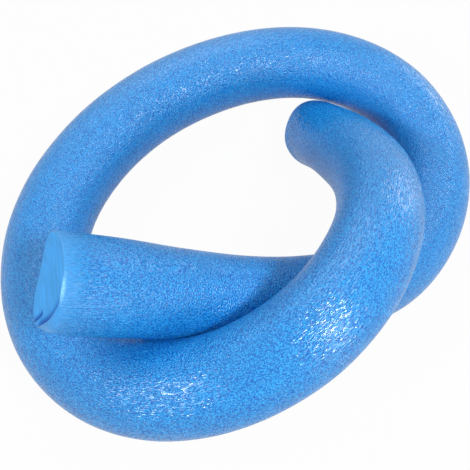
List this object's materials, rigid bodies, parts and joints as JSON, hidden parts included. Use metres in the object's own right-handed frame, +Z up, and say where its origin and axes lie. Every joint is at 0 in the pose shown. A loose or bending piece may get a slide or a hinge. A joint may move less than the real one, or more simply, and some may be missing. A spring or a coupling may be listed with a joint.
{
  "type": "pool noodle",
  "caption": "Solid round foam pool noodle bent into a loose loop with its ends tucked in, for floating on and playing in water.",
  "frame": {"origin": "on the floor, under the middle of the bent noodle's box", "axes": "+X to the right as seen from the side of the two crossings, +Y away from that viewer, +Z up; the loop lies nearly flat on the floor"},
  "size_m": [0.401, 0.3912, 0.1654],
  "materials": {
    "blue_foam": "closed-cell polyethylene foam with a smooth, finely pebbled, softly glossy skin; matte cut ends"
  },
  "bodies": {
    "root": {"foam_noodle": "blue_foam"}
  },
  "joints": []
}
